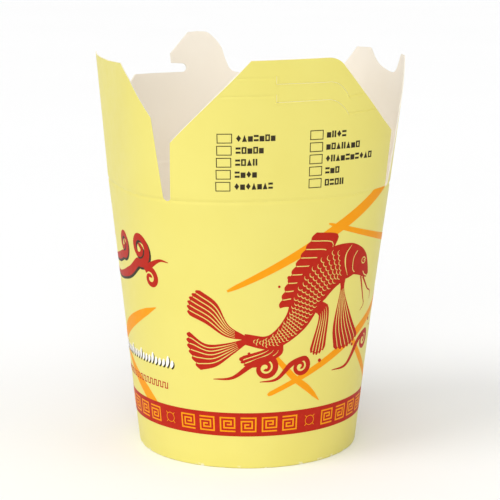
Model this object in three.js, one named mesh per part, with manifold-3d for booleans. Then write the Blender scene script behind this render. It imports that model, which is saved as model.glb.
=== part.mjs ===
// Round-based takeaway box of coated board, standing open.
//
// One blank makes the flared cup wall and the four flaps above its crease. The cup is round at the
// foot and turns slightly square at the crease, with its corners at the four slits between the flaps.
// A dished base disc sits inside the foot, its skirt held in the hem that the wall turns in.
//
// Millimetres, +Z up, origin on the axis where the box stands. The front flap faces -Y.
// Places on the board are given as on the flat blank: s along the crease from a flap's middle,
// h above the crease.

import * as THREE from 'three';
import Module from 'manifold-3d';
import { mergeVertices } from 'three/addons/utils/BufferGeometryUtils.js';
import { TessellateModifier } from 'three/addons/modifiers/TessellateModifier.js';

// ---- driving dimensions -------------------------------------------------------------------------

const BOARD = 0.45;           // thickness of the coated board
const GAP = 0.3;              // clearance between neighbouring pieces

const BASE_RADIUS = 43.4;     // outside of the wall where it stands
const CREASE_RADIUS = 54.9;   // mean outside of the wall at the crease
const CREASE_HEIGHT = 105;
const SQUARENESS = 2.2;       // how far the crease's corners stand out, and its sides sink in

const WALL_TOP = CREASE_HEIGHT - GAP;
const HEM_HEIGHT = 6.2;       // board turned in and up inside the foot
const HEM_OUTSIDE = BASE_RADIUS - 2 * BOARD - 2 * GAP;
const FLOOR_HEIGHT = 7;       // underside of the base disc
const FLOOR_BEND = 1.2;       // radius of the bend between disc and skirt

const SEAM_LAP = 10;          // width of the glued side seam
const SEAM_BURY = 0.1;        // how deep its outer lap reaches into the wall

const WIDE_FLAP_ANGLE = 49;   // half the angle between slits at the front and back flaps, degrees
const SIDE_FLAP_ANGLE = 90 - WIDE_FLAP_ANGLE;
const WIDE_FLAP_SLIT = 1.1;   // from a slit's middle to the edge of a front or back flap
const SIDE_FLAP_SLIT = 2.2;   // from a slit's middle to the edge of a side flap
const FLATTENING = 0.066;     // extra outward lean of a flap's side edges, mm for each mm of height

const WIDE_CORNER = [44.85, 21.4];    // [s, h] where a front or back flap's side edge ends
const SIDE_CORNER = [34.2, 30.5];     // the same on a side flap
const SIDE_TOP = 48.7;                // top edge of both side flaps
const FRONT_TOP = 51.7;
const BACK_SHOULDER = 37.2;

const HOOK_SLIT = {                   // the cut that takes the back flap's hook
  width: 0.3,
  left: -7.4,                         // foot of the short upright cut
  level: 43.2,                        // the long level cut
  upright: 2.8,                       // height of the upright cut
  straightEnd: 14.5,                  // where the level cut starts to curve down
  kneeAt: 19.1,                       // where the two tangents of that curve meet
  end: [21.5, 37.6],                  // lower end of the curve
  pitch: 6.5,                         // the second cut lies this much lower
};

const WALL_SEGMENTS = 88;     // facets round the cup
const WALL_STEPS = 4;         // facets up the cup
const SEAM_COLUMNS = 3;       // facets across the seam's lap
const BEND_STEPS = 3;         // facets round the base's bend
const CURVE_SEGMENTS = 6;     // straight steps in each curved stretch of an outline
const LONGEST_FACET = 9;      // longest facet edge on a flap
const SPLIT_PASSES = 8;       // enough halvings to bring the longest edge under that
const WELD_DISTANCE = 1e-4;   // vertices closer than this are one

// ---- the cup's shape ----------------------------------------------------------------------------

const { degToRad, radToDeg, euclideanModulo } = THREE.MathUtils;

/** Signed angle from the nearest flap's middle, as a fraction of that flap's half angle. */
function acrossFlap(angle) {
  const turn = Math.abs(euclideanModulo(angle + 180, 360) - 180);
  if (turn <= WIDE_FLAP_ANGLE) return turn / WIDE_FLAP_ANGLE;
  if (turn >= 180 - WIDE_FLAP_ANGLE) return (180 - turn) / WIDE_FLAP_ANGLE;
  return (turn - 90) / SIDE_FLAP_ANGLE;
}

/** How far the squared crease stands out from a circle: most at the slits, least at the middles. */
function squareness(angle) {
  return -SQUARENESS * Math.cos(Math.PI * acrossFlap(angle));
}

/** How much wider the cup is at a height than where it stands, before it is squared. */
function flare(z) {
  return (CREASE_RADIUS - BASE_RADIUS) * (z / CREASE_HEIGHT);
}

/** Outside radius of the wall at an angle in degrees from the front and a height. */
function wallRadius(angle, z) {
  return BASE_RADIUS + flare(z) + squareness(angle) * (z / CREASE_HEIGHT) ** 2;
}

/** A point at an angle from the front, a radius and a height. */
function place(angle, radius, z) {
  const a = degToRad(angle);
  return new THREE.Vector3(radius * Math.sin(a), -radius * Math.cos(a), z);
}

/** The angle that a length along the crease takes up, in degrees. */
function creaseAngle(s) {
  return radToDeg(s / CREASE_RADIUS);
}

/** The length along the crease that an angle takes up. */
function creaseLength(angle) {
  return degToRad(angle) * CREASE_RADIUS;
}

// ---- shaping helpers ----------------------------------------------------------------------------

/** Moves every vertex of a geometry by a function of its position. */
function reshape(geometry, move) {
  const position = geometry.attributes.position;
  const point = new THREE.Vector3();
  for (let i = 0; i < position.count; i += 1) {
    point.fromBufferAttribute(position, i);
    const moved = move(point);
    position.setXYZ(i, moved.x, moved.y, moved.z);
  }
  return geometry;
}

/** Keeps positions only and merges the vertices that faces share, so that the surface is closed. */
function weld(geometry) {
  const bare = geometry.clone();
  bare.deleteAttribute('normal');
  bare.deleteAttribute('uv');
  return mergeVertices(bare, WELD_DISTANCE);
}

/** Turns a profile of [radius, height] pairs about the Z axis. */
function turned(profile) {
  const points = profile.map(([radius, z]) => new THREE.Vector2(radius, z));
  return new THREE.LatheGeometry(points, WALL_SEGMENTS).rotateX(Math.PI / 2);
}

/** Gives a round geometry the wall's squareness at each height. */
function squared(geometry) {
  return reshape(geometry, (p) => {
    const angle = radToDeg(Math.atan2(p.x, -p.y));
    const radius = Math.hypot(p.x, p.y) + squareness(angle) * (p.z / CREASE_HEIGHT) ** 2;
    return place(angle, radius, p.z);
  });
}

/** Joins two closed geometries. */
function joined(library, first, second) {
  const [a, b] = [first, second].map((geometry) => {
    const solid = weld(geometry);
    const vertProperties = new Float32Array(solid.attributes.position.array);
    const triVerts = new Uint32Array(solid.index.array);
    return new library.Manifold(new library.Mesh({ numProp: 3, vertProperties, triVerts }));
  });
  const mesh = a.add(b).getMesh();
  const result = new THREE.BufferGeometry();
  result.setAttribute('position', new THREE.BufferAttribute(mesh.vertProperties, 3));
  result.setIndex(new THREE.BufferAttribute(mesh.triVerts, 1));
  return result;
}

// ---- cup wall -----------------------------------------------------------------------------------

/** The wall with its turned-in hem: down the outside, under the foot and up inside it. */
function wallShell() {
  const steps = Array.from({ length: WALL_STEPS + 1 }, (_, i) => (WALL_TOP * i) / WALL_STEPS);
  const outside = steps.map((z) => [BASE_RADIUS + flare(z), z]);
  const inside = steps.slice(1).reverse().map((z) => [BASE_RADIUS + flare(z) - BOARD, z]);
  return squared(turned([
    ...outside,
    ...inside,
    [BASE_RADIUS + flare(BOARD) - BOARD, BOARD],
    [HEM_OUTSIDE + flare(BOARD), BOARD],
    [HEM_OUTSIDE + flare(HEM_HEIGHT), HEM_HEIGHT],
    [HEM_OUTSIDE + flare(HEM_HEIGHT) - BOARD, HEM_HEIGHT],
    [HEM_OUTSIDE - BOARD, 0],
    [BASE_RADIUS, 0],
  ]));
}

/** The outer lap of the glued seam, whose edge runs up the back right corner to its slit. */
function seamLap() {
  const seamAngle = 90 + SIDE_FLAP_ANGLE - creaseAngle(SEAM_LAP / 2);
  const thickness = BOARD + SEAM_BURY;
  const strip = new THREE.BoxGeometry(SEAM_LAP, WALL_TOP, thickness, SEAM_COLUMNS, WALL_STEPS, 1);
  strip.translate(0, WALL_TOP / 2, thickness / 2 - SEAM_BURY);
  return reshape(strip, (p) => {
    const angle = seamAngle + creaseAngle(p.x);
    return place(angle, wallRadius(angle, p.y) + p.z, p.y);
  });
}

// ---- base disc ----------------------------------------------------------------------------------

/** The base: a flat disc whose rim is bent down into the hem. */
function baseDish() {
  const skirt = (z) => BASE_RADIUS - BOARD - GAP + flare(z);
  const foot = BOARD + GAP;
  const floorTop = FLOOR_HEIGHT + BOARD;
  const bend = (radius, corner) => Array.from({ length: BEND_STEPS + 1 }, (_, step) => {
    const a = (step / BEND_STEPS) * (Math.PI / 2);
    return [corner - radius + radius * Math.cos(a), floorTop - FLOOR_BEND + radius * Math.sin(a)];
  });
  const outer = bend(FLOOR_BEND, skirt(floorTop));
  const inner = bend(FLOOR_BEND - BOARD, skirt(floorTop) - BOARD).reverse();
  return turned([
    [0, FLOOR_HEIGHT],
    ...inner,
    [skirt(foot) - BOARD, foot],
    [skirt(foot), foot],
    ...outer,
    [0, floorTop],
  ]);
}

// ---- flaps --------------------------------------------------------------------------------------

/** Bends a flat blank (x along the crease, y up, z through the board) round to its place. */
function bent(geometry, flap) {
  return reshape(geometry, (p) => {
    const fromMiddle = creaseAngle(p.x);
    const across = fromMiddle / flap.halfAngle;
    const lean = flap.lean * p.y + FLATTENING * p.y * across ** 2;
    const angle = flap.angle + fromMiddle;
    const outside = CREASE_RADIUS - SQUARENESS * Math.cos(Math.PI * across) + lean;
    return place(angle, outside - BOARD + p.z, CREASE_HEIGHT + p.y);
  });
}

/** A flap: its flat outline cut from board, faceted finely enough to bend, and bent. */
function flapBody(flap) {
  const shape = flap.outline(creaseLength(flap.halfAngle) - flap.slit);
  const settings = { depth: BOARD, bevelEnabled: false, curveSegments: CURVE_SEGMENTS };
  const blank = new THREE.ExtrudeGeometry(shape, settings);
  const split = new TessellateModifier(LONGEST_FACET, SPLIT_PASSES).modify(blank);
  return bent(split, flap);
}

/** Mirrors a list of [s, h] corners, in running order, to the other side of the flap's middle. */
function mirrored(corners) {
  return corners.map(([s, h]) => [-s, h]).reverse();
}

/** Draws straight lines through [s, h] corners. */
function lines(shape, corners) {
  corners.forEach(([s, h]) => shape.lineTo(s, h));
  return shape;
}

/** One hook slit as a closed narrow loop, lowered by a given amount. */
function hookSlit(lowered) {
  const { width, left, upright, straightEnd, kneeAt } = HOOK_SLIT;
  const level = HOOK_SLIT.level - lowered;
  const [endS, endH] = [HOOK_SLIT.end[0], HOOK_SLIT.end[1] - lowered];
  const loop = new THREE.Path();
  loop.moveTo(left, level + upright);
  loop.lineTo(left, level);
  loop.lineTo(straightEnd, level);
  loop.quadraticCurveTo(kneeAt, level, endS, endH);
  loop.lineTo(endS + width, endH);
  loop.quadraticCurveTo(kneeAt + width, level + width, straightEnd, level + width);
  loop.lineTo(left + width, level + width);
  loop.lineTo(left + width, level + upright);
  loop.closePath();
  return loop;
}

/** Front flap: a trapezium with one rounded top corner and two hook slits. */
function frontOutline(foot) {
  const shape = new THREE.Shape();
  shape.moveTo(-foot, 0);
  lines(shape, [[foot, 0], WIDE_CORNER, [20.1, 48]]);
  shape.quadraticCurveTo(16.6, FRONT_TOP, 11.8, FRONT_TOP);
  lines(shape, [[-16.6, FRONT_TOP], ...mirrored([WIDE_CORNER])]);
  shape.closePath();
  shape.holes.push(hookSlit(0), hookSlit(HOOK_SLIT.pitch));
  return shape;
}

/** Back flap: low shoulders with a hook that points to the flap's left, seen from outside. */
function backOutline(foot) {
  const shape = new THREE.Shape();
  const tipUnderside = 40.8;
  const throat = (tipUnderside - BACK_SHOULDER) / 2;
  const throatEnd = 9.5;
  shape.moveTo(-foot, 0);
  lines(shape, [[foot, 0], WIDE_CORNER, [31, BACK_SHOULDER], [throatEnd, BACK_SHOULDER]]);
  shape.absarc(throatEnd, BACK_SHOULDER + throat, throat, -Math.PI / 2, Math.PI / 2, true);
  lines(shape, [[14.4, tipUnderside], [15, 44.9], [7.3, 53.3], [1.5, 53.8]]);
  shape.quadraticCurveTo(-7, 54, -8.3, 43);
  shape.quadraticCurveTo(-8.4, 36, -18, 35.8);
  lines(shape, [[-31, BACK_SHOULDER], ...mirrored([WIDE_CORNER])]);
  shape.closePath();
  return shape;
}

/** Left flap: a plain trapezium. */
function leftOutline(foot) {
  const shape = new THREE.Shape();
  shape.moveTo(-foot, 0);
  lines(shape, [[foot, 0], SIDE_CORNER, [15.9, SIDE_TOP], [-26, SIDE_TOP], ...mirrored([SIDE_CORNER])]);
  shape.closePath();
  return shape;
}

/** Right flap: a trapezium with a half-round notch in its top edge. */
function rightOutline(foot) {
  const shape = new THREE.Shape();
  const notch = { middle: -2.4, halfWidth: 14.2, depth: 7.6 };
  shape.moveTo(-foot, 0);
  lines(shape, [[foot, 0], SIDE_CORNER, [23.2, SIDE_TOP], [notch.middle + notch.halfWidth, SIDE_TOP]]);
  shape.absellipse(notch.middle, SIDE_TOP, notch.halfWidth, notch.depth, 0, -Math.PI, true);
  lines(shape, [[-20, SIDE_TOP], ...mirrored([SIDE_CORNER])]);
  shape.closePath();
  return shape;
}

const FLAPS = [
  { name: 'front_flap', angle: 0, halfAngle: WIDE_FLAP_ANGLE, slit: WIDE_FLAP_SLIT, lean: 0.052,
    outline: frontOutline },
  { name: 'right_flap', angle: 90, halfAngle: SIDE_FLAP_ANGLE, slit: SIDE_FLAP_SLIT, lean: 0.09,
    outline: rightOutline },
  { name: 'back_flap', angle: 180, halfAngle: WIDE_FLAP_ANGLE, slit: WIDE_FLAP_SLIT, lean: 0.06,
    outline: backOutline },
  { name: 'left_flap', angle: -90, halfAngle: SIDE_FLAP_ANGLE, slit: SIDE_FLAP_SLIT, lean: 0.052,
    outline: leftOutline },
];

// ---- assembly -----------------------------------------------------------------------------------

const PRINTED_BOARD = { color: 0xf3e683, roughness: 0.42, metalness: 0 };
const BARE_BOARD = { color: 0xefe7da, roughness: 0.55, metalness: 0 };

/** A named piece with its own material. */
function piece(name, geometry, finish) {
  const solid = weld(geometry);
  solid.computeVertexNormals();
  const mesh = new THREE.Mesh(solid, new THREE.MeshStandardMaterial(finish));
  mesh.name = name;
  return mesh;
}

const library = await Module();
library.setup();

const box = new THREE.Group();
box.name = 'takeaway_box';
box.add(piece('wall', joined(library, wallShell(), seamLap()), PRINTED_BOARD));
box.add(piece('base', baseDish(), BARE_BOARD));
FLAPS.forEach((flap) => box.add(piece(flap.name, flapBody(flap), PRINTED_BOARD)));

export default box;
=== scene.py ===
"""Open noodle takeaway box of coated board: its looks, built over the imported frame.

Every sheet of the box is cut flat, as on the press, and rolled to its place by Geometry Nodes. On the
flat sheet x runs along the crease (an angle from the front times the crease's radius), y is the height
above the table and z stands out from the printed side. Sizes are in millimetres until a mesh is made.
"""

import logging
import math
import random
from collections.abc import Callable, Iterable, Mapping, Sequence
from dataclasses import dataclass, field, replace
from enum import Enum
from functools import partialmethod

import bpy
import numpy as np
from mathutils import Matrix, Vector
from mathutils.geometry import delaunay_2d_cdt


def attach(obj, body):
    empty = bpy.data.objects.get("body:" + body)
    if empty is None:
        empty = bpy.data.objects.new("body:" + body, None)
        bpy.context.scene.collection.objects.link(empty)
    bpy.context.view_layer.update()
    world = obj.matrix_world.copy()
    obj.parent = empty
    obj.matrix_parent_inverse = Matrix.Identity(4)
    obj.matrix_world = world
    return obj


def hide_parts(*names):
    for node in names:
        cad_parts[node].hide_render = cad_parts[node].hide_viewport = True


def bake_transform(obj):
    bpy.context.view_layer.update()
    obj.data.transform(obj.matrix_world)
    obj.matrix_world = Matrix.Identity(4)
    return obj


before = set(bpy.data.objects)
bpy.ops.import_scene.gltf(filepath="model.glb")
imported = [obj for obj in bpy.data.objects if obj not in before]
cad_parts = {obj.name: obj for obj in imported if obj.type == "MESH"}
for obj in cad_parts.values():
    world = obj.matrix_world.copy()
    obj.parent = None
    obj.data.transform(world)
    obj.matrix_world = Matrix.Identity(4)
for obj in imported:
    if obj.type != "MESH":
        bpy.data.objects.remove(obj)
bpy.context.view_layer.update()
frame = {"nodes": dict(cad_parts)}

LOG = logging.getLogger("takeaway_box")
CUP = "cup"
MM = 0.001
NEAR = 1e-6  # millimetres between places that count as one
WELD = 1e-5  # millimetres between points that a cut joins
MARGIN = 0.01  # millimetres by which a cut's columns and rows run past its outlines

Number = float | np.ndarray
Loop = np.ndarray
Point = Sequence[float]
Widths = Sequence[tuple[float, float]]
Colour = tuple[float, float, float]
Range = tuple[float, float]
Feeds = Mapping[str | int, object]
Piece = bpy.types.Object
Socket = bpy.types.NodeSocket


# ---- shape of the box ---------------------------------------------------------------------------


@dataclass(frozen=True)
class BoxForm:
    """Sizes that all the pieces share, in millimetres and degrees."""

    board: float = 0.45
    foot_radius: float = 43.4
    crease_radius: float = 54.9
    crease_height: float = 105.0
    squareness: float = 2.2
    wide_half_angle: float = 49.0
    flattening: float = 0.066
    column: float = 1.5
    row: float = 5.0
    bending_row: float = 1.25
    flap_reach: float = 60.0
    crease_press: float = 0.27
    crease_width: float = 0.65
    crease_steps: tuple[float, ...] = (0.0, 0.25, 0.5, 0.75, 1.05, 1.5, 2.2)
    press_through: float = 0.45
    wide_side: float = 46.2
    narrow_side: float = 36.95
    slit_round: float = 1.6
    slit_dip: float = 0.4
    seam_angle: float = 131.0
    lap: float = 10.0
    ramp: float = 7.0
    lap_lift: float = 0.49

    def pressed(self, distance: Number, depth: float, width: float) -> Number:
        """Level of the board across a pressed line, from the distance to its middle."""
        return -depth * np.exp(-((distance / width) ** 2))

    def crease(self, height: Number) -> Number:
        """Level of the board near the crease at a height."""
        return self.pressed(height - self.crease_height, self.crease_press, self.crease_width)

    def inner(self, level: Number) -> Number:
        """Level of the inside, which is pressed less than the outside."""
        return self.press_through * level - self.board

    def along(self, angle: float) -> float:
        """Place along the crease of an angle from the front."""
        return math.radians(angle) * self.crease_radius

    def mean_radius(self, height: Number) -> Number:
        """Radius of the cup at a height, before it is squared."""
        share = np.minimum(height, self.crease_height) / self.crease_height
        return self.foot_radius + (self.crease_radius - self.foot_radius) * share

    @property
    def slits(self) -> np.ndarray:
        """Places along the crease of the four slits between the flaps."""
        middle = (self.wide_side + self.along(90) - self.narrow_side) / 2
        return np.array([middle - self.along(180), -middle, middle, self.along(180) - middle])

    @property
    def seam(self) -> Range:
        """Places of the wall's inner end and of its outer end, which overlap."""
        stop = self.along(self.seam_angle)
        return stop - self.along(360) - self.lap, stop

    def lapped(self, x: np.ndarray) -> np.ndarray:
        """How far the wall stands out where its outer end lies on the inner one."""
        rise = np.clip((x - self.seam[1] + self.lap) / self.ramp + 1, 0, 1)
        return rise * rise * (3 - 2 * rise) * self.lap_lift

    def slit_cut(self, x: np.ndarray) -> np.ndarray:
        """How far below the crease the slits' round ends reach.

        Args:
            x: Places along the crease.

        Returns:
            The depth at each place.
        """
        turn = self.along(360)
        off = np.abs((x[:, None] - self.slits + turn / 2) % turn - turn / 2).min(axis=1)
        round_part = np.sqrt(np.clip(self.slit_round**2 - off**2, 0, None))
        return np.clip(round_part - (self.slit_round - self.slit_dip), 0, None)

    def columns(self, low: float, high: float) -> np.ndarray:
        """Places of the mesh columns between two places, on steps that every sheet shares."""
        step = self.along(self.column)
        return np.arange(math.ceil(low / step - NEAR), math.floor(high / step + NEAR) + 1) * step

    def rows(self, low: float, high: float) -> np.ndarray:
        """Heights of the mesh rows between two heights, close together above the crease.

        Args:
            low: The lower height.
            high: The upper height.

        Returns:
            The rows' heights.
        """
        top = self.crease_height
        rows = np.append(np.arange(0, top, self.row), np.arange(top, top + self.flap_reach, self.bending_row))
        return rows[(rows >= low - NEAR) & (rows <= high + NEAR)]

    def drawn(self, loop: Loop, angle: float = 0.0, height: float = 0.0) -> Loop:
        """Lays a drawing in true millimetres on the sheet.

        Args:
            loop: Points of the drawing, about its own middle.
            angle: Angle from the front of that middle.
            height: Its height above the table.

        Returns:
            The points in sheet coordinates.
        """
        y = loop[:, 1] + height
        x = self.along(angle) + loop[:, 0] * self.crease_radius / self.mean_radius(y)
        return np.stack([x, y], axis=1)


FORM = BoxForm()


class Side(Enum):
    """Which side of the board a face belongs to."""

    OUTSIDE = 0
    INSIDE = 1
    EDGE = 2


class Ink(Enum):
    """Colours of the print. BARE knocks the inks below it out."""

    BARE = "bare"
    RED = "red"
    ORANGE = "orange"
    DARK = "dark"
    WHITE = "white"


Section = list[tuple[float, float, Side]]


# ---- finishes -----------------------------------------------------------------------------------


class Nodes:
    """A node tree, with a short way to add nodes and to feed their inputs."""

    def __init__(self, tree: bpy.types.NodeTree) -> None:
        """Keeps the tree."""
        self.tree = tree

    def add(self, kind: str, feeds: Feeds | None = None, **settings: object) -> bpy.types.Node:
        """Adds a node.

        Args:
            kind: The node's type.
            feeds: What its inputs take, by their names or numbers.
            settings: Values of its own properties.

        Returns:
            The node.
        """
        node = self.tree.nodes.new(kind)
        for key, value in settings.items():
            setattr(node, key, value)
        self.feed(node, feeds or {})
        return node

    def feed(self, node: bpy.types.Node, feeds: Feeds) -> None:
        """Gives a node's inputs what they take.

        Args:
            node: The node.
            feeds: Outputs to link and values to set, by the inputs' names or numbers.
        """
        for key, source in feeds.items():
            if isinstance(source, Socket):
                self.tree.links.new(source, node.inputs[key])
            else:
                node.inputs[key].default_value = source


class Shader(Nodes):
    """The nodes of a material that holds one Principled shader."""

    def __init__(self, name: str) -> None:
        """Starts the material.

        Args:
            name: The material's name.
        """
        self.material = bpy.data.materials.new(name)
        self.material.use_nodes = True
        super().__init__(self.material.node_tree)
        self.surface = self.tree.nodes["Principled BSDF"]
        self.place = self.add("ShaderNodeTexCoord").outputs["Object"]

    def finished(self, feeds: Feeds) -> bpy.types.Material:
        """The material, once the inputs of its Principled shader take what they should."""
        self.feed(self.surface, feeds)
        return self.material

    def noise(self, scale: float, detail: float = 2.0, rough: float = 0.5) -> Socket:
        """Noise on the piece's own coordinates, with a number of cells for each metre."""
        feeds = {"Vector": self.place, "Scale": scale, "Detail": detail, "Roughness": rough}
        return self.add("ShaderNodeTexNoise", feeds).outputs["Fac"]

    def ranged(self, value: Socket, source: Range = (0.3, 0.7), target: Range = (0.0, 1.0)) -> Socket:
        """Maps a value from one range to another, clamped."""
        feeds = dict(zip(("Value", "From Min", "From Max", "To Min", "To Max"), (value, *source, *target)))
        return self.add("ShaderNodeMapRange", feeds).outputs["Result"]

    def mixed(self, share: Socket, first: Colour | Socket, second: Colour) -> Socket:
        """Mixes a colour into another, which may come from a socket, by a share from 0 to 1."""
        feeds = {0: share, 6: first if isinstance(first, Socket) else (*first, 1), 7: (*second, 1)}
        return self.add("ShaderNodeMix", feeds, data_type="RGBA").outputs[2]


def linear(red: int, green: int, blue: int) -> Colour:
    """Turns a display colour from 0 to 255 into the linear colour that shaders take."""
    levels = (value / 255 for value in (red, green, blue))
    return tuple(v / 12.92 if v <= 0.04045 else ((v + 0.055) / 1.055) ** 2.4 for v in levels)


@dataclass(frozen=True)
class Finish:
    """A surface whose colour drifts in patches into a second one, with an uneven gloss."""

    name: str
    colour: Colour
    second: Colour
    roughness: Range
    gloss: float = 0.25
    gloss_grain: float = 300.0
    patches: float = 38.0
    drift: Range = (0.3, 0.7)

    def feeds(self, shader: Shader) -> dict[str | int, object]:
        """What the Principled shader's inputs take.

        Args:
            shader: The material's nodes.

        Returns:
            Outputs and values by the names of the inputs.
        """
        share = shader.ranged(shader.noise(self.patches, 3.0), self.drift)
        return {
            "Base Color": shader.mixed(share, self.colour, self.second),
            "Roughness": shader.ranged(shader.noise(self.gloss_grain), target=self.roughness),
            "Specular IOR Level": self.gloss,
        }

    def material(self) -> bpy.types.Material:
        """Builds the finish's material."""
        shader = Shader(self.name)
        return shader.finished(self.feeds(shader))


@dataclass(frozen=True)
class InkFinish(Finish):
    """One ink of the print, thinner in places, under the board's clear coat."""

    roughness: Range = (0.4, 0.48)
    gloss: float = 0.06
    patches: float = 420.0
    drift: Range = (0.35, 0.75)


@dataclass(frozen=True)
class BoardFinish(Finish):
    """Food board, with fibres in its bump and, outside, bare fibre where the foot has rubbed."""

    fibre: float = 0.12
    fibre_height: float = 0.05
    fibre_grain: float = 1400.0
    worn_foot: bool = False
    worn_heights: Range = (0.2, 1.3)
    worn_grain: float = 210.0
    worn_noise: Range = (0.56, 0.61)
    most_worn: float = 0.8
    bare: Colour = linear(250, 248, 240)

    def feeds(self, shader: Shader) -> dict[str | int, object]:
        """Adds the fibres and the wear to what the shader's inputs take.

        Args:
            shader: The material's nodes.

        Returns:
            Outputs and values by the names of the inputs.
        """
        feeds = super().feeds(shader)
        bump = {"Strength": self.fibre, "Distance": self.fibre_height * MM,
                "Height": shader.noise(self.fibre_grain, 4.0, 0.6)}
        feeds["Normal"] = shader.add("ShaderNodeBump", bump).outputs["Normal"]
        if self.worn_foot:
            feeds["Base Color"] = shader.mixed(self._worn(shader), feeds["Base Color"], self.bare)
        return feeds

    def _worn(self, shader: Shader) -> Socket:
        """Share of bare fibre at the foot.

        Args:
            shader: The material's nodes.

        Returns:
            The share.
        """
        height = shader.add("ShaderNodeSeparateXYZ", {0: shader.place}).outputs["Z"]
        low = shader.ranged(height, tuple(z * MM for z in self.worn_heights), (1.0, 0.0))
        specks = shader.noise(self.worn_grain, 4.0, 0.7)
        specks = shader.ranged(specks, self.worn_noise, (0.0, self.most_worn))
        return shader.add("ShaderNodeMath", {0: low, 1: specks}, operation="MULTIPLY").outputs[0]


@dataclass(frozen=True)
class FloorFinish:
    """Plain pale floor."""

    colour: Colour = (0.95, 0.95, 0.95)
    lighter: Colour = (0.9595, 0.9595, 0.9595)
    patches: float = 3.0
    roughness: float = 0.8

    def material(self) -> bpy.types.Material:
        """Builds the floor's material.

        Returns:
            The material.
        """
        shader = Shader("pale_floor")
        drift = shader.mixed(shader.ranged(shader.noise(self.patches)), self.colour, self.lighter)
        return shader.finished({"Base Color": drift, "Roughness": self.roughness})


class Palette:
    """The materials of the box, each made once."""

    def __init__(self) -> None:
        """Builds the board's three sides and the inks."""
        boards = {
            Side.OUTSIDE: BoardFinish("yellow_coated_board", linear(231, 220, 119), linear(229, 217, 114),
                                      (0.38, 0.46), worn_foot=True),
            Side.INSIDE: BoardFinish("cream_inside_board", linear(254, 247, 234), linear(252, 244, 229),
                                     (0.5, 0.6), fibre=0.3),
            Side.EDGE: BoardFinish("white_cut_edge", linear(243, 237, 223), linear(235, 228, 212),
                                   (0.7, 0.85), gloss=0.2, fibre=0.8),
        }
        inks = {
            Ink.RED: (linear(181, 38, 24), linear(187, 44, 29)),
            Ink.ORANGE: (linear(243, 155, 20), linear(242, 159, 28)),
            Ink.DARK: (linear(52, 46, 34), linear(66, 58, 42)),
            Ink.WHITE: (linear(252, 251, 246), linear(247, 245, 238)),
        }
        self.board = {side: finish.material() for side, finish in boards.items()}
        self.inks = {ink: InkFinish(f"{ink.value}_ink", *shades).material() for ink, shades in inks.items()}


# ---- flat drawing -------------------------------------------------------------------------------


def anticlockwise(loop: Loop) -> Loop:
    """The loop, turned to run anticlockwise."""
    x, y = loop.T
    return loop if np.sum(x * np.roll(y, -1) - np.roll(x, -1) * y) > 0 else loop[::-1]


def flowing(points: Sequence[Point], steps: int = 8) -> np.ndarray:
    """A smooth line through points.

    Args:
        points: The points that it passes.
        steps: Straight steps between two of them.

    Returns:
        The line's points.
    """
    p = np.asarray(points, float)
    padded = np.vstack([2 * p[0] - p[1], p, 2 * p[-1] - p[-2]])
    line = []
    for a, b, c, d in zip(padded, padded[1:], padded[2:], padded[3:]):
        for t in np.arange(steps) / steps:
            line.append(0.5 * (2 * b + (c - a) * t + (2 * a - 5 * b + 4 * c - d) * t**2
                               + (3 * b - a - 3 * c + d) * t**3))
    return np.array([*line, p[-1]])


def drawn_towards(start: Point, control: Point, end: Point) -> np.ndarray:
    """A curve between two points that is drawn towards a third.

    Args:
        start: Where it starts.
        control: The point towards which it is drawn.
        end: Where it ends.

    Returns:
        Its points after the start.
    """
    a, b, c = np.array([start, control, end], float)
    t = np.arange(1, 9)[:, None] / 8
    return (1 - t) ** 2 * a + 2 * t * (1 - t) * b + t * t * c


def shares(line: np.ndarray) -> np.ndarray:
    """How far along a line each of its points is, from 0 to 1."""
    run = np.concatenate([[0], np.cumsum(np.linalg.norm(np.diff(line, axis=0), axis=1))])
    return run / run[-1]


def spread(values: np.ndarray, known: np.ndarray, wanted: Number) -> np.ndarray:
    """Pairs that belong to shares of a line's length, taken at other shares."""
    return np.stack([np.interp(wanted, known, values[:, i]) for i in (0, 1)], axis=-1)


def normals(line: np.ndarray) -> np.ndarray:
    """Unit vectors to the left of a line at each of its points."""
    run = np.gradient(line, axis=0)
    return np.stack([-run[:, 1], run[:, 0]], axis=1) / np.linalg.norm(run, axis=1, keepdims=True)


def ribbon(line: np.ndarray, widths: Widths | float) -> Loop:
    """A band that follows a line.

    Args:
        line: The middle line's points.
        widths: One width, or pairs of a share of the length and the width there.

    Returns:
        The band's outline.
    """
    pairs = ((0, widths), (1, widths)) if isinstance(widths, (int, float)) else widths
    aside = normals(line) * (np.interp(shares(line), *zip(*pairs)) / 2)[:, None]
    return anticlockwise(np.vstack([line + aside, (line - aside)[::-1]]))


def spokes(turn: np.ndarray) -> np.ndarray:
    """Unit vectors at angles in radians."""
    return np.stack([np.cos(turn), np.sin(turn)], axis=1)


def disc(middle: Point, radius: float, sides: int = 20) -> Loop:
    """A round outline."""
    return np.asarray(middle, float) + radius * spokes(np.arange(sides) * 2 * math.pi / sides)


def bow(middle: Point, radius: float, start: float, stop: float, steps: int = 8) -> np.ndarray:
    """Points on an arc between two angles in degrees."""
    return np.asarray(middle, float) + radius * spokes(np.radians(np.linspace(start, stop, steps + 1)))


def oblong(left: float, low: float, right: float, high: float) -> Loop:
    """An upright rectangle."""
    return np.array([[left, low], [right, low], [right, high], [left, high]], float)


def bars(path: Sequence[Point], width: float) -> list[Loop]:
    """Square-ended bars along a path of level and upright steps."""
    ends = (np.array(pair, float) for pair in zip(path, path[1:]))
    return [oblong(*(pair.min(0) - width / 2), *(pair.max(0) + width / 2)) for pair in ends]


def level_lines(left: float, right: float, heights: Iterable[float]) -> list[np.ndarray]:
    """Level lines between two places, one at each height."""
    return [np.array([[left, y], [right, y]]) for y in heights]


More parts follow.
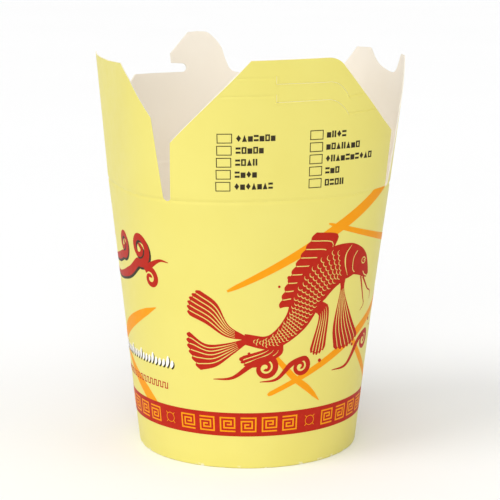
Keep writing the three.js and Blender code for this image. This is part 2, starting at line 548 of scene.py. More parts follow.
@dataclass
class Drawing:
    """Inked outlines in the order they are laid down."""

    layers: list[tuple[Ink, Loop]] = field(default_factory=list)

    def lay(self, ink: Ink, *loops: Sequence[Point]) -> "Drawing":
        """Adds outlines on top of those already there, and gives the drawing back."""
        self.layers.extend((ink, anticlockwise(np.asarray(loop, float))) for loop in loops)
        return self

    def placed(self, move: Callable[[Loop], Loop]) -> "Drawing":
        """The drawing with every outline moved."""
        return Drawing([(ink, anticlockwise(move(loop))) for ink, loop in self.layers])

    def add(self, *others: "Drawing") -> "Drawing":
        """Lays other drawings on top, and gives the drawing back."""
        self.layers.extend(layer for other in others for layer in other.layers)
        return self


# ---- cutting sheets -----------------------------------------------------------------------------


@dataclass(frozen=True)
class Cut:
    """A flat sheet split into triangles, each with the topmost outline that it lies in."""

    points: np.ndarray
    triangles: np.ndarray
    top: np.ndarray


def inside(loop: Loop, points: np.ndarray) -> np.ndarray:
    """Which points an outline winds round.

    Args:
        loop: The outline, which may cross itself.
        points: The points to test.

    Returns:
        True for each point inside.
    """
    found = np.zeros(len(points), bool)
    near = np.all((points > loop.min(0)) & (points < loop.max(0)), axis=1)
    x, y = points[near].T
    turns = np.zeros(len(x), int)
    for (x0, y0), (x1, y1) in zip(loop, np.roll(loop, -1, axis=0)):
        left = (x1 - x0) * (y - y0) - (x - x0) * (y1 - y0)
        turns += (y0 <= y) & (y1 > y) & (left > 0)
        turns -= (y0 > y) & (y1 <= y) & (left < 0)
    found[near] = turns != 0
    return found


def cut_sheet(loops: Sequence[Loop], lines: Sequence[np.ndarray] = ()) -> Cut:
    """Splits the area of some outlines along the mesh's columns and rows.

    Args:
        loops: Outlines in sheet coordinates, each on top of those before it.
        lines: Further lines that the triangles follow.

    Returns:
        The triangles that lie in at least one outline.
    """
    everything = np.vstack(list(loops))
    (left, low), (right, high) = everything.min(0) - MARGIN, everything.max(0) + MARGIN
    grid = [np.array([[x, low], [x, high]]) for x in FORM.columns(left, right)]
    grid += level_lines(left, right, FORM.rows(low, high))
    points: list[Point] = []
    edges: list[tuple[int, int]] = []
    for line in [*grid, *lines, *(np.vstack([loop, loop[:1]]) for loop in loops)]:
        first = len(points)
        points.extend(line)
        edges.extend((first + i, first + i + 1) for i in range(len(line) - 1))
    found = delaunay_2d_cdt([Vector(p[:2]) for p in points], edges, [], 0, WELD)
    corners, triangles = np.array(found[0], float), np.array(found[2], int)
    middles = corners[triangles].mean(axis=1)
    top = np.full(len(triangles), -1)
    for i, loop in enumerate(loops):
        top[inside(loop, middles)] = i
    kept = top >= 0
    return Cut(corners, triangles[kept], top[kept])


@dataclass
class Solid:
    """Points and faces of a closed sheet, with the side that each face belongs to."""

    points: np.ndarray
    faces: list[tuple[int, ...]]
    sides: list[int]

    def mesh(self, name: str) -> bpy.types.Mesh:
        """Makes the Blender mesh, in metres.

        Args:
            name: The mesh's name.

        Returns:
            A mesh whose faces carry their side in an attribute.
        """
        mesh = bpy.data.meshes.new(name)
        mesh.from_pydata((self.points * MM).tolist(), [], self.faces)
        attribute = mesh.attributes.new("side", "INT", "FACE")
        attribute.data.foreach_set("value", np.array(self.sides, np.int32))
        return mesh


def slab(cut: Cut, chosen: np.ndarray, top: np.ndarray, bottom: np.ndarray,
         shift: Number = 0.0, upper_sides: np.ndarray | int = Side.OUTSIDE.value) -> Solid:
    """Gives some of a sheet's triangles a thickness.

    Args:
        cut: The sheet.
        chosen: Which triangles to take.
        top: Level of the printed side at each point.
        bottom: Level of the back at each point.
        shift: How far the back is shifted along the sheet at each point.
        upper_sides: Which side of the board the top of each triangle belongs to.

    Returns:
        The closed sheet.
    """
    used, flat = np.unique(cut.triangles[chosen], return_inverse=True)
    triangles = flat.reshape(-1, 3)
    count = len(used)
    upper = np.column_stack([cut.points, top])[used]
    lower = np.column_stack([cut.points + shift, bottom])[used]
    faces = [tuple(t) for t in triangles] + [tuple(t[::-1] + count) for t in triangles]
    sides = np.broadcast_to(upper_sides, len(chosen))[chosen].tolist() + [Side.INSIDE.value] * len(triangles)
    seen = {(a, b) for t in triangles for a, b in zip(t, np.roll(t, -1))}
    rims = [(b, a, a + count, b + count) for a, b in sorted(seen) if (b, a) not in seen]
    return Solid(np.vstack([upper, lower]), faces + rims, sides + [Side.EDGE.value] * len(rims))


def woven(columns: int, rows: int, around: bool, first: int = 0) -> list[tuple[int, ...]]:
    """Faces between columns of points.

    Args:
        columns: How many columns there are.
        rows: How many points each has.
        around: True where the last column meets the first, False where each column closes on itself.
        first: Number of the first point.

    Returns:
        The faces, column by column.
    """
    faces = []
    for i in range(columns if around else columns - 1):
        a, b = first + i * rows, first + (i + 1) % columns * rows
        for j in range(rows - 1 if around else rows):
            k = (j + 1) % rows
            faces.append((a + j, a + k, b + k, b + j))
    return faces


def shown(name: str, data: bpy.types.ID) -> Piece:
    """Puts a new object in the scene.

    Args:
        name: The object's name.
        data: Its mesh, lamp or camera.

    Returns:
        The object, at the origin.
    """
    thing = bpy.data.objects.new(name, data)
    bpy.context.scene.collection.objects.link(thing)
    return thing


# ---- rolling sheets with Geometry Nodes ---------------------------------------------------------


class Value:
    """A number in a node tree, on which arithmetic makes Math nodes."""

    def __init__(self, nodes: Nodes, source: Socket | float) -> None:
        """Wraps a socket or a plain number."""
        self.nodes, self.source = nodes, source

    def apply(self, operation: str, *others: "Value | float") -> "Value":
        """Makes a Math node.

        Args:
            operation: The node's operation.
            others: Its second and third numbers.

        Returns:
            The result.
        """
        sources = (value.source if isinstance(value, Value) else value for value in (self, *others))
        node = self.nodes.add("ShaderNodeMath", dict(enumerate(sources)), operation=operation)
        return Value(self.nodes, node.outputs[0])

    # Arithmetic between two values, or between a value and a number.
    __add__ = partialmethod(apply, "ADD")
    __sub__ = partialmethod(apply, "SUBTRACT")
    __mul__ = partialmethod(apply, "MULTIPLY")
    __truediv__ = partialmethod(apply, "DIVIDE")


@dataclass(frozen=True)
class Repeat:
    """Copies of a flat piece, each a step further on."""

    count: int
    step: tuple[float, float]


class Roller:
    """Repeats flat sheets, rolls them round to the box's shape and gives them their materials."""

    SIZES = {
        "Foot Radius": FORM.foot_radius * MM,
        "Crease Radius": FORM.crease_radius * MM,
        "Crease Height": FORM.crease_height * MM,
        "Squareness": FORM.squareness * MM,
        "Wide Half Angle": math.radians(FORM.wide_half_angle),
        "Flattening": FORM.flattening,
        "Corner Lift": 0.9 * MM,
        "Corner Angle": math.radians(44),
        "Corner Width": math.radians(17),
        "Corner Height": 9.0 * MM,
        "Lean": 0.0,
        "Seam Place": FORM.seam[1] * MM,
        "Lap": FORM.lap * MM,
        "Ramp": FORM.ramp * MM,
        "Lap Lift": FORM.lap_lift * MM,
    }
    MATERIALS = {"Outside": Side.OUTSIDE, "Inside": Side.INSIDE, "Edge": Side.EDGE}

    def __init__(self) -> None:
        """Builds the two node trees."""
        self.repeat_tree = self._repeat_tree()
        self.roll_tree = self._roll_tree()

    @staticmethod
    def _tree(name: str, inputs: dict[str, str]) -> tuple[Nodes, bpy.types.Node, bpy.types.Node]:
        """Starts a tree that takes geometry and more, and gives geometry.

        Args:
            name: The tree's name.
            inputs: Kinds of its further inputs by their names.

        Returns:
            The tree, its input node and its output node.
        """
        nodes = Nodes(bpy.data.node_groups.new(name, "GeometryNodeTree"))
        for title, kind in {"Geometry": "Geometry", **inputs}.items():
            nodes.tree.interface.new_socket(title, in_out="INPUT", socket_type=f"NodeSocket{kind}")
        nodes.tree.interface.new_socket("Geometry", in_out="OUTPUT", socket_type="NodeSocketGeometry")
        return nodes, nodes.add("NodeGroupInput"), nodes.add("NodeGroupOutput")

    def _repeat_tree(self) -> bpy.types.NodeTree:
        """Makes the tree that copies its geometry along a step.

        Returns:
            The tree, which realizes the copies.
        """
        nodes, given, result = self._tree("Repeat Along", {"Count": "Int", "Step": "Vector"})
        steps = {"Count": given.outputs["Count"], "Offset": given.outputs["Step"]}
        line = nodes.add("GeometryNodeMeshLine", steps, mode="OFFSET")
        copies = nodes.add("GeometryNodeInstanceOnPoints",
                           {"Points": line.outputs["Mesh"], "Instance": given.outputs["Geometry"]})
        real = nodes.add("GeometryNodeRealizeInstances", {"Geometry": copies.outputs["Instances"]})
        nodes.feed(result, {"Geometry": real.outputs["Geometry"]})
        return nodes.tree

    def _roll_tree(self) -> bpy.types.NodeTree:
        """Makes the tree that rolls a flat sheet round the box.

        Returns:
            The tree, which realizes the sheet and sets the material of each side.
        """
        inputs = dict.fromkeys(self.SIZES, "Float") | dict.fromkeys(self.MATERIALS, "Material")
        nodes, given, result = self._tree("Roll Round", inputs)
        size = {name: Value(nodes, given.outputs[name]) for name in self.SIZES}
        flat = nodes.add("GeometryNodeInputPosition").outputs[0]
        x, y, out = (Value(nodes, socket) for socket in nodes.add("ShaderNodeSeparateXYZ", {0: flat}).outputs)

        angle = x / size["Crease Radius"]
        turn = angle.apply("WRAP", math.pi, -math.pi).apply("ABSOLUTE")
        wide = size["Wide Half Angle"]
        front = turn / wide
        back = (Value(nodes, math.pi) - turn) / wide
        side = (turn - math.pi / 2).apply("ABSOLUTE") / (Value(nodes, math.pi / 2) - wide)
        across = front.apply("MINIMUM", back).apply("MINIMUM", side)
        squared = (across * math.pi).apply("COSINE") * size["Squareness"] * -1.0

        share = y.apply("MINIMUM", size["Crease Height"]) / size["Crease Height"]
        above = (y - size["Crease Height"]).apply("MAXIMUM", 0.0)
        flare = (size["Crease Radius"] - size["Foot Radius"]) * share
        lean = above * (size["Lean"] + size["Flattening"] * across * across)
        around = size["Crease Radius"] * (2 * math.pi)
        before_seam = (x - size["Seam Place"]).apply("WRAP", 0.0, around * -1.0)
        rise = ((before_seam + size["Lap"]) / size["Ramp"] + 1.0).apply("MINIMUM", 1.0).apply("MAXIMUM", 0.0)
        lapped = rise * rise * (Value(nodes, 3.0) - rise * 2.0) * size["Lap Lift"]
        radius = size["Foot Radius"] + flare + squared * share * share + lean + lapped + out
        aside = (angle - size["Corner Angle"]) / size["Corner Width"]
        off = (y - size["Crease Height"]) / size["Corner Height"]
        lift = (aside * aside * -1.0 - off * off).apply("EXPONENT") * size["Corner Lift"]
        spot = (radius * angle.apply("SINE"), radius * angle.apply("COSINE") * -1.0, y + lift)

        place = nodes.add("ShaderNodeCombineXYZ", dict(enumerate(value.source for value in spot)))
        moved = {"Geometry": given.outputs["Geometry"], "Position": place.outputs[0]}
        moved = nodes.add("GeometryNodeSetPosition", moved)
        last = nodes.add("GeometryNodeRealizeInstances", {"Geometry": moved.outputs["Geometry"]})
        for name, chosen in self.MATERIALS.items():
            marked = nodes.add("GeometryNodeInputNamedAttribute", {"Name": "side"}, data_type="INT")
            same = nodes.add("FunctionNodeCompare", {2: marked.outputs["Attribute"], 3: chosen.value},
                             data_type="INT", operation="EQUAL")
            last = nodes.add("GeometryNodeSetMaterial",
                             {"Geometry": last.outputs["Geometry"], "Selection": same.outputs[0],
                              "Material": given.outputs[name]})
        nodes.feed(result, {"Geometry": last.outputs["Geometry"]})
        return nodes.tree

    @staticmethod
    def _modifier(thing: Piece, tree: bpy.types.NodeTree, values: Mapping[str, object]) -> None:
        """Adds a tree to an object as a modifier, its inputs set by their identifiers.

        Args:
            thing: The object.
            tree: The tree.
            values: Values of the tree's inputs by their names.
        """
        modifier = thing.modifiers.new(tree.name, "NODES")
        modifier.node_group = tree
        for item in tree.interface.items_tree:
            if item.in_out == "INPUT" and item.name in values:
                modifier[item.identifier] = values[item.name]

    def roll(self, name: str, mesh: bpy.types.Mesh, materials: Mapping[Side, bpy.types.Material],
             lean: float = 0.0, repeats: Iterable[Repeat] = (), lap_lift: float = FORM.lap_lift) -> Piece:
        """Rolls a flat mesh to its place.

        Args:
            name: The piece's name.
            mesh: The flat mesh.
            materials: The material of each side.
            lean: How far a flap leans out for each millimetre of height.
            repeats: Copies to make of it before it is rolled.
            lap_lift: How far it stands out where it lies on the wall's lap.

        Returns:
            The piece as a plain mesh, its object at the origin.
        """
        flat = shown("flat_" + name, mesh)
        for repeat in repeats:
            step = (repeat.step[0] * MM, repeat.step[1] * MM, 0.0)
            self._modifier(flat, self.repeat_tree, {"Count": repeat.count, "Step": step})
        values = self.SIZES | {"Lean": lean, "Lap Lift": lap_lift * MM}
        values |= {title: materials[side] for title, side in self.MATERIALS.items()}
        self._modifier(flat, self.roll_tree, values)
        graph = bpy.context.evaluated_depsgraph_get()
        rolled = bpy.data.meshes.new_from_object(flat.evaluated_get(graph), preserve_all_data_layers=True,
                                                 depsgraph=graph)
        bpy.data.objects.remove(flat)
        return finished_piece(name, rolled)


def finished_piece(name: str, mesh: bpy.types.Mesh, crisp: float = 32.0) -> Piece:
    """Shows a mesh as an object at the origin, smooth but for its crisp edges.

    Args:
        name: The piece's name.
        mesh: Its mesh.
        crisp: Angle in degrees past which an edge stays crisp.

    Returns:
        The object.
    """
    mesh.name = name
    mesh.polygons.foreach_set("use_smooth", np.ones(len(mesh.polygons), bool))
    mesh.set_sharp_from_angle(angle=math.radians(crisp))
    return shown(name, mesh)


# ---- cup ----------------------------------------------------------------------------------------


@dataclass
class CupWall:
    """The flared wall: one strip of board, lapped and glued at the seam, its foot turned in."""

    palette: Palette
    roller: Roller
    hem_height: float = 6.2
    hem_depth: float = 1.95
    corner: float = 0.5
    top_gap: float = 0.003
    plain_top: float = 3.0
    end_clear: float = 0.3
    slit_clear: float = 1.2
    slit_columns: tuple[float, ...] = (0.3, 0.6, 0.9, 1.06)
    bend_turns: tuple[float, ...] = (0.0, 30.0, 60.0, 90.0)

    def _profile(self) -> Section:
        """The strip's section.

        Returns:
            Height and distance out of each corner, and the side of the face that starts there.
        """
        board, corner, depth = FORM.board, self.corner, self.hem_depth
        top = FORM.crease_height - self.top_gap
        heights = [top - step for step in FORM.crease_steps]
        heights += [*FORM.rows(corner + 1, top - self.plain_top)[::-1], corner]
        turn = np.radians(self.bend_turns)
        section = [(y, float(FORM.crease(y)), Side.OUTSIDE) for y in heights]
        section += [(corner * (1 - math.sin(a)), -corner * (1 - math.cos(a)), Side.OUTSIDE) for a in turn[1:]]
        section += [(corner * (1 - math.cos(a)), corner * (1 - math.sin(a)) - depth, Side.OUTSIDE)
                    for a in turn]
        section += [(self.hem_height, -depth, Side.EDGE), (self.hem_height, board - depth, Side.INSIDE),
                    (board, board - depth, Side.INSIDE), (board, -board, Side.INSIDE)]
        section += [(y, float(FORM.inner(FORM.crease(y))), Side.INSIDE) for y in heights[-2:0:-1]]
        return [*section, (top, float(FORM.inner(FORM.crease(top))), Side.EDGE)]

    def _places(self) -> np.ndarray:
        """Places of the section along the crease.

        Returns:
            The places, closer together round the slits' ends.
        """
        start, stop = FORM.seam
        places = [start, stop, *FORM.columns(start + self.end_clear, stop - self.end_clear)]
        for slit in [*FORM.slits, FORM.slits[-1] - FORM.along(360)]:
            places = [x for x in places if abs(x - slit) >= self.slit_clear]
            places += [slit, *(slit + way * off for off in self.slit_columns for way in (-1, 1))]
        return np.array(sorted(x for x in places if start <= x <= stop))

    def board(self) -> Piece:
        """Builds the wall.

        Returns:
            The wall with its hem and seam.
        """
        profile, places = self._profile(), self._places()
        around, columns = len(profile), len(places)
        top, reach = FORM.crease_height, FORM.crease_steps[-1]
        points = []
        for x, lifted, dip in zip(places, FORM.lapped(places), FORM.slit_cut(places)):
            points += [(x, y - dip * max(0, 1 - (top - y) / reach), out + lifted) for y, out, _ in profile]
        last = (columns - 1) * around
        ends = [tuple(range(around - 1, -1, -1)), tuple(range(last, last + around))]
        sides = [side.value for _, _, side in profile] * (columns - 1) + [Side.EDGE.value] * 2
        solid = Solid(np.array(points), woven(columns, around, False) + ends, sides)
        wall = self.roller.roll("cup_wall", solid.mesh("cup_wall"), self.palette.board, lap_lift=0.0)
        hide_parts("wall")
        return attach(wall, CUP)


@dataclass
class CupBase:
    """The base: a disc whose rim is bent down into the hem."""

    palette: Palette
    floor: float = 7.0
    bend: float = 1.2
    foot: float = 0.75
    sag: float = 0.35
    wall_clear: float = 0.3
    segments: int = 160
    rings: int = 8
    bend_steps: int = 6

    def _profile(self) -> Section:
        """The base's section.

        Returns:
            Radius and height of each corner, and the side of the face that starts there.
        """
        board, top = FORM.board, self.floor + FORM.board
        skirt = FORM.foot_radius - board - self.wall_clear
        flare = (FORM.crease_radius - FORM.foot_radius) / FORM.crease_height
        rim = skirt + flare * top
        middle = (rim - self.bend, top - self.bend)
        radii = np.linspace(0, middle[0], self.rings + 1)[:-1]
        foot = skirt + flare * self.foot
        upper = [*((r, top - self._sagged(r, rim)) for r in radii),
                 *bow(middle, self.bend, 90, 0, self.bend_steps)]
        lower = [(foot - board, self.foot), *bow(middle, self.bend - board, 0, 90, self.bend_steps),
                 *((r, self.floor - self._sagged(r, rim)) for r in radii[::-1])]
        return [*((r, z, Side.INSIDE) for r, z in upper), (foot, self.foot, Side.EDGE),
                *((r, z, Side.INSIDE) for r, z in lower)]

    def _sagged(self, radius: float, rim: float) -> float:
        """How far the disc sags at a radius."""
        return self.sag * (1 - (radius / rim) ** 2) ** 2

    def board(self) -> Piece:
        """Builds the base.

        Returns:
            The base disc with its skirt.
        """
        profile = self._profile()
        rings = profile[1:-1]
        count = len(rings)
        points = [(0, 0, profile[0][1]), (0, 0, profile[-1][1])]
        for a in np.arange(self.segments) * 2 * math.pi / self.segments:
            points += [(r * math.sin(a), -r * math.cos(a), z) for r, z, _ in rings]
        faces = woven(self.segments, count, True, 2)
        sides = [side.value for _, _, side in rings[:-1]] * self.segments
        for i in range(self.segments):
            a, b = 2 + i * count, 2 + (i + 1) % self.segments * count
            faces += [(0, a, b), (1, b + count - 1, a + count - 1)]
            sides += [Side.INSIDE.value] * 2
        mesh = Solid(np.array(points), faces, sides).mesh("cup_base")
        for side in Side:
            mesh.materials.append(self.palette.board[side])
        mesh.polygons.foreach_set("material_index", np.array(sides, np.int32))
        base = finished_piece("cup_base", mesh)
        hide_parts("base")
        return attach(base, CUP)


# ---- flaps --------------------------------------------------------------------------------------


def aside_of(points: np.ndarray, line: np.ndarray) -> np.ndarray:
    """How far points are from a line of straight steps.

    Args:
        points: The points.
        line: The line's points.

    Returns:
        The distances, negative on the line's right.
    """
    nearest = np.full(len(points), np.inf)
    for a, b in zip(line, line[1:]):
        share = np.clip((points - a) @ (b - a) / ((b - a) @ (b - a)), 0, 1)
        off = points - a - share[:, None] * (b - a)
        away = np.linalg.norm(off, axis=1) * np.where(off @ (a[1] - b[1], b[0] - a[0]) < 0, -1, 1)
        nearest = np.where(np.abs(away) < np.abs(nearest), away, nearest)
    return nearest


@dataclass(frozen=True)
class Press:
    """A line pressed into the board's outside, with a lip and, on the line's right, a white strip that is
    bare fibre and a painted highlight of the lit cut edge.
    """

    line: np.ndarray
    depth: float
    width: float
    lip: float = 0.0
    # Width of the white strip on the line's right, in the cut edge's colour: bare fibre, and a painted
    # highlight of the lit cut edge.
    bare: float = 0.0
    lip_place: float = 1.1
    lip_width: float = 0.7
    fibre_highlight_gap: float = 0.01
    steps: tuple[float, ...] = (-2.4, -1.8, -1.45, -1.1, -0.8, -0.5, -0.25, 0, 0.4, 0.8, 1.3, 2)

    def strip(self) -> Loop:
        """The white strip beside a line that is cut through: bare fibre, and a painted highlight of the cut
        edge.
        """
        return ribbon(self.line - normals(self.line) * (self.bare / 2 + self.fibre_highlight_gap), self.bare)

    def level(self, points: np.ndarray) -> np.ndarray:
        """Level of the board near the line.

        Args:
            points: Points of the sheet.

        Returns:
            How far out the line and its lip put each point.
        """
        aside = aside_of(points, self.line)
        lip = FORM.pressed(aside + self.lip_place * self.width, self.lip, self.lip_width * self.width)
        return FORM.pressed(aside, self.depth, self.width) - lip

    def followers(self) -> list[np.ndarray]:
        """Lines beside the pressed line that the mesh follows."""
        aside = normals(self.line) * self.width
        return [self.line + aside * share for share in self.steps]


@dataclass
class Flap:
    """A flap above the crease, leaning out from it."""

    palette: Palette
    roller: Roller
    body: str = ""
    angle: float = 0.0
    lean: float = 0.0
    side: float = FORM.wide_side
    bend_height: float = 26.0
    foot_gap: float = 0.003
    slant: tuple[float, float] = (-0.2, 0.14)
    slant_height: float = 4.0

    def outline(self) -> list[Point]:
        """The flap's outline above its feet, from its right foot round to its left."""
        raise NotImplementedError

    def holes(self) -> list[Loop]:
        """Slits cut through the flap."""
        return []

    def scores(self) -> list[Press]:
        """Lines pressed into the flap's outside."""
        return []

    def placed(self, loop: Sequence[Point]) -> Loop:
        """Puts points given from the flap's middle and crease on the sheet."""
        return np.asarray(loop, float) + (FORM.along(self.angle), FORM.crease_height)

    def folding(self, piece: Piece) -> Piece:
        """Moves a piece's place into its mesh, its object left at the origin."""
        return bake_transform(piece)

    def _edge(self) -> Loop:
        """The whole outline on the sheet.

        Returns:
            The outline, its feet spread into the round ends of the slits.
        """
        radius, height = FORM.slit_round, FORM.slit_round - FORM.slit_dip
        low = 180 + math.degrees(math.asin(height / radius))
        foot = bow((self.side + radius, height), radius, low, 180, 6)
        edge = self.placed([*foot, *self.outline(), *(foot[::-1] * (-1, 1))])
        edge[:, 1] = np.maximum(edge[:, 1], FORM.crease_height + self.foot_gap)
        return anticlockwise(edge)

    def board(self) -> Piece:
        """Builds the flap's board.

        Returns:
            The flap, with its slits cut and its lines pressed in.
        """
        edge = self._edge()
        holes = [anticlockwise(self.placed(hole)) for hole in self.holes()]
        base = FORM.crease_height + self.foot_gap
        lines = level_lines(edge[:, 0].min(), edge[:, 0].max(), base + np.array(FORM.crease_steps[1:]))
        pressed = [replace(score, line=self.placed(score.line)) for score in self.scores()]
        for score in pressed:
            lines += score.followers()
        # White strips beside the slits take the cut edge's colour on the outside: part bare fibre, part
        # painted highlight of the lit cut edge.
        fibre_highlight_strips = [score.strip() for score in pressed if score.bare]
        cut = cut_sheet([edge, *fibre_highlight_strips, *holes], lines)
        top = FORM.crease(cut.points[:, 1]) + sum(score.level(cut.points) for score in pressed)
        rise = np.clip((cut.points[:, 1:] - FORM.crease_height) / self.slant_height, 0, 1)
        sides = np.where(cut.top == 0, Side.OUTSIDE.value, Side.EDGE.value)
        solid = slab(cut, cut.top <= len(fibre_highlight_strips), top, FORM.inner(top), rise * self.slant, sides)
        flap = self.roller.roll(self.body + "_board", solid.mesh(self.body), self.palette.board, self.lean)
        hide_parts(self.body)
        return self.folding(flap)


@dataclass
class FrontFlap(Flap):
    """Front flap: a trapezium with one rounded top corner, two hook slits and four pressed lines."""

    body: str = "front_flap"
    lean: float = 0.052
    slit_width: float = 0.03

    def outline(self) -> list[Point]:
        """Trapezium with a rounded right top corner.

        Returns:
            The outline's points.
        """
        chamfer = flowing([(45.5, 22.6), (38.3, 28.0), (28.6, 37.9), (19.3, 48.6)], 3)
        corner = drawn_towards(chamfer[-1], (16.9, 52.1), (12.4, 52.1))
        return [(45.6, 13.4), *chamfer, *corner, (-16.4, 51.7), (-20.7, 47.1), (-44.9, 21.6)]

    @staticmethod
    def _slit_lines() -> list[np.ndarray]:
        """Middle lines of the two slits for the back flap's hook.

        Returns:
            The upper line and the lower one, each from its left end.
        """
        upper = [(-7.3, 46.0), (-7.3, 43.15), (14.0, 43.25)], (18.4, 43.0), (21.5, 37.4)
        lower = [(-7.2, 39.3), (-7.2, 36.5), (13.3, 36.8)], (18.2, 36.4), (21.8, 30.8)
        return [np.array([*bar, *drawn_towards(bar[-1], bend, tip)]) for bar, bend, tip in (upper, lower)]

    def holes(self) -> list[Loop]:
        """The two slits."""
        return [ribbon(line, self.slit_width) for line in self._slit_lines()]

    def scores(self) -> list[Press]:
        """Lines pressed beside the slits, so that the flap gives there, and the slits' own edges.

        Returns:
            Two soft lines on the left, two deep ones on the right, and the slits from their corners, each
            slit with a white strip that is partly a painted highlight.
        """
        soft = [((-21.4, 45.4), (-8.1, 45.3)), ((-26.6, 38.8), (-8.0, 38.8))]
        deep = [((21.7, 37.5), (28.2, 38.3)), ((22.1, 31.2), (33.5, 32.1))]
        slits = self._slit_lines()
        return [*(Press(np.array(ends), 0.16, 0.45) for ends in soft),
                *(Press(np.array(ends), 0.22, 0.4, 0.16) for ends in deep),
                # The last number is the width of each slit's white strip, which is partly a painted
                # highlight.
                *(Press(line[part], 0.12, 0.3, 0.16, 0.07)
                  for part in (slice(1, None), slice(1, None, -1)) for line in slits)]


@dataclass
class BackFlap(Flap):
    """Back flap: low shoulders and the hook."""

    body: str = "back_flap"
    angle: float = 180.0
    lean: float = 0.06

    def outline(self) -> list[Point]:
        """Shoulders, then the hook's throat, tip, crown and back.

        Returns:
            The outline's points.
        """
        throat = bow((10.3, 39.0), 1.8, -90, -270, 10)
        crown = flowing([(3.6, 53.8), (-1.4, 52.9), (-6.5, 47.4), (-8.5, 41.8), (-11.3, 37.1),
                         (-18, 35.9)], 6)
        return [(45.0, 21.6), (31.4, 37.3), *throat, (14.9, 41.2), (15.2, 45.1), (7.4, 53.5), *crown,
                (-31, 37.2), (-44.9, 21.6)]


@dataclass
class LeftFlap(Flap):
    """Left flap: a plain trapezium, its top rising a little away from the front."""

    body: str = "left_flap"
    angle: float = -90.0
    lean: float = 0.06
    side: float = FORM.narrow_side

    def outline(self) -> list[Point]:
        """A trapezium whose top is off its middle."""
        return [(34.2, 30.4), (29.4, 36.0), (23.0, 43.4), (16.2, 48.8), (0.2, 48.2), (-13, 48.4),
                (-19.8, 48.7), (-26.2, 49.4), (-34.2, 30.5)]


@dataclass
class RightFlap(Flap):
    """Right flap: a trapezium with a thumb notch in its top."""

    body: str = "right_flap"
    angle: float = 90.0
    lean: float = 0.083
    side: float = FORM.narrow_side

    def outline(self) -> list[Point]:
        """A trapezium with a skewed notch.

        Returns:
            The outline's points.
        """
        notch = flowing([(9.8, 48.7), (5.3, 45.3), (-1, 42.8), (-11.2, 41.4), (-16.2, 42.6),
                         (-19.6, 48.1)], 5)
        return [(34.4, 31.2), (29.0, 41.2), (21.8, 48.5), (11.2, 49.1), (10.4, 49.0), *notch,
                (-20.0, 48.9), (-20.7, 49.3), (-24.6, 49.2), (-25.2, 48.7), (-34.2, 30.5)]


# ---- print --------------------------------------------------------------------------------------


@dataclass
class PrintShop:
    """Lays drawings on the box as thin films of ink."""

    palette: Palette
    roller: Roller
    film: float = 0.04
    buried: float = -0.03

    def lay(self, name: str, drawing: Drawing, level: int = 1, lean: float = 0.0,
            repeats: Iterable[Repeat] = ()) -> list[Piece]:
        """Makes one film for each ink of a drawing.

        Args:
            name: The films' first name. The ink's name follows it.
            drawing: Outlines on the sheet.
            level: 1 for ink on board, 2 for ink on ink.
            lean: The flap's lean, above the crease.
            repeats: Copies of the drawing.

        Returns:
            The films, which ride on nothing yet.
        """
        inks, loops = zip(*drawing.layers)
        (left, _), (right, high) = np.vstack(loops).min(0), np.vstack(loops).max(0)
        steps = FORM.crease_height - np.array(FORM.crease_steps)
        cut = cut_sheet(loops, level_lines(left, right, steps[steps < high]))
        base = FORM.crease(cut.points[:, 1])
        made = []
        for ink, material in self.palette.inks.items():
            chosen = np.array([inks[top] is ink for top in cut.top])
            if not chosen.any():
                continue
            solid = slab(cut, chosen, base + self.film * level, base + self.buried)
            film = self.roller.roll(f"{name}_{ink.value}", solid.mesh(name), dict.fromkeys(Side, material),
                                    lean, repeats)
            made.append(film)
        return made


@dataclass
class FootBand:
    """The red band round the foot, with orange ornaments in five groups."""

    shop: PrintShop
    low: float = 13.2
    high: float = 22.7
    margin: float = 0.05
    groups: int = 5
    first_ring: float = -59.1
    ring: Range = (1.79, 2.0)
    tick: Range = (1.86, 2.95)
    tick_line: float = 0.21
    stamp_size: float = 6.0
    stamp_pitch: float = 9.7
    stamp_line: float = 0.58
    stamp_pairs: int = 3

    def print(self) -> list[Piece]:
        """Prints the band and its ornaments.

        Returns:
            The films.
        """
        start, stop = FORM.seam
        strip = oblong(start + FORM.lap + self.margin, self.low, stop - self.margin, self.high)
        films = self.shop.lay("foot_band", Drawing().lay(Ink.RED, strip))
        groups = Repeat(self.groups, (FORM.along(360 / self.groups), 0))
        rings = self._ring().placed(self._onto(FORM.along(self.first_ring)))
        films += self.shop.lay("foot_rings", rings, 2, repeats=[groups])
        pairs = Repeat(self.stamp_pairs, (2 * self.stamp_pitch, 0))
        first = FORM.along(self.first_ring + 180 / self.groups)
        first -= (self.stamp_pairs - 0.5) * self.stamp_pitch
        for i, way in enumerate((1, -1)):
            fret = self._fret().placed(self._onto(first + i * self.stamp_pitch, way))
            films += self.shop.lay(f"foot_frets_{i + 1}", fret, 2, repeats=[pairs, groups])
        return films

    def _onto(self, x: float, way: int = 1) -> Callable[[Loop], Loop]:
        """Gives what moves an ornament to its place on the band.

        Args:
            x: The place of its middle.
            way: 1, or -1 to turn it half round.

        Returns:
            What moves an outline.
        """
        middle = (self.low + self.high) / 2
        stretch = FORM.crease_radius / FORM.mean_radius(middle)
        return lambda loop: loop * (way * stretch, way) + (x, middle)

    def _ring(self) -> Drawing:
        """A ring with four ticks at its corners.

        Returns:
            The ornament about its own middle.
        """
        ring = Drawing()
        for way in spokes(np.radians([45, 135, 225, 315])):
            ring.lay(Ink.ORANGE, ribbon(np.outer(self.tick, way), self.tick_line))
        inner, outer = self.ring
        return ring.lay(Ink.ORANGE, disc((0, 0), outer)).lay(Ink.BARE, disc((0, 0), inner))

    def _fret(self) -> Drawing:
        """A square spiral, a traditional key ornament.

        Returns:
            The ornament about its own middle.
        """
        a = (self.stamp_size - self.stamp_line) / 2
        b = a / 2
        path = [(a, -a), (-a, -a), (-a, a), (a, a), (a, -b), (-b, -b), (-b, b), (b, b), (b, 0), (0, 0)]
        return Drawing().lay(Ink.ORANGE, *bars(path, self.stamp_line))


